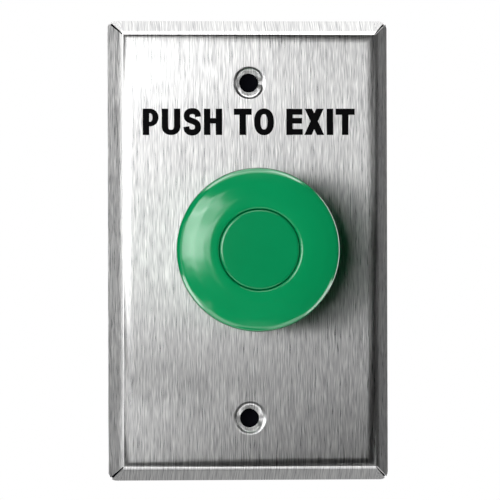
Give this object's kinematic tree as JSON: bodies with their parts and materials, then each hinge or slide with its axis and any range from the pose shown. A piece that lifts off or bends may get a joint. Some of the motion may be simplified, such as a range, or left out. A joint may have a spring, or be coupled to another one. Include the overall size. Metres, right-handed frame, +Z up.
{
  "type": "door exit button",
  "caption": "Door exit push button: a green mushroom head on a brushed steel single-gang wall plate, with contact blocks behind.",
  "frame": {"origin": "centre of the wall plate, in the plane of the wall that the plate's rim rests on", "axes": "+Z up, +X to the right of someone who faces the plate, -Y out of the wall towards that person, so the contact blocks are at +Y"},
  "size_m": [0.0698, 0.0695, 0.1142],
  "materials": {
    "plate_steel": "fine vertical brushed grain",
    "black_rubber": "matte",
    "black_plastic": "fine grain",
    "bezel_chrome": "satin",
    "zinc_steel": "bright zinc plate",
    "nut_plastic": "fine grain",
    "green_plastic": "smooth, glossy",
    "disc_plastic": "smooth, glossy",
    "grey_plastic": "smooth",
    "spring_steel": "drawn wire",
    "carrier_plastic": "fine grain",
    "block_plastic": "fine grain",
    "block_cover_plastic": "fine grain",
    "contact_brass": "rolled, bright",
    "no_green_plastic": "smooth",
    "nc_red_plastic": "smooth"
  },
  "bodies": {
    "frame": {"wall_plate": "plate_steel", "panel_gasket": "black_rubber", "operator_housing": "black_plastic", "seal_ring": "black_rubber", "bezel_ring": "bezel_chrome", "lock_washer": "zinc_steel", "lock_nut": "nut_plastic", "return_spring": "spring_steel", "contact_carrier": "carrier_plastic", "clamp_screws": "zinc_steel", "no_housing": "block_plastic", "no_cover": "block_cover_plastic", "no_return_spring": "spring_steel", "no_strip_upper": "contact_brass", "no_strip_lower": "contact_brass", "no_clamps": "zinc_steel", "no_screws": "zinc_steel", "nc_housing": "block_plastic", "nc_cover": "block_cover_plastic", "nc_return_spring": "spring_steel", "nc_strip_upper": "contact_brass", "nc_strip_lower": "contact_brass", "nc_clamps": "zinc_steel", "nc_screws": "zinc_steel"},
    "button": {"mushroom_head": "green_plastic", "centre_disc": "disc_plastic", "head_screw": "zinc_steel", "plunger": "grey_plastic", "pusher_foot": "grey_plastic", "foot_screw": "zinc_steel"},
    "no_moving": {"no_actuator": "no_green_plastic", "no_bridge": "contact_brass", "no_contact_spring": "spring_steel"},
    "nc_moving": {"nc_actuator": "nc_red_plastic", "nc_bridge": "contact_brass", "nc_contact_spring": "spring_steel"}
  },
  "joints": [
    {"name": "button_press", "type": "slide", "parent": "frame", "child": "button", "axis": [0, 1, 0], "range_m": [0, 0.004], "stiffness_N_per_m": 900, "springref_m": -0.004, "deforming": ["return_spring"]},
    {"name": "no_contact_slide", "type": "slide", "parent": "frame", "child": "no_moving", "axis": [0, 1, 0], "range_m": [0, 0.004], "stiffness_N_per_m": 200, "springref_m": -0.004, "deforming": ["no_return_spring"]},
    {"name": "nc_contact_slide", "type": "slide", "parent": "frame", "child": "nc_moving", "axis": [0, 1, 0], "range_m": [0, 0.004], "stiffness_N_per_m": 200, "springref_m": -0.004, "deforming": ["nc_return_spring"]}
  ],
  "couplings": [
    {"joint": "no_contact_slide", "follows": "button_press", "ratio": 1},
    {"joint": "nc_contact_slide", "follows": "button_press", "ratio": 1}
  ]
}
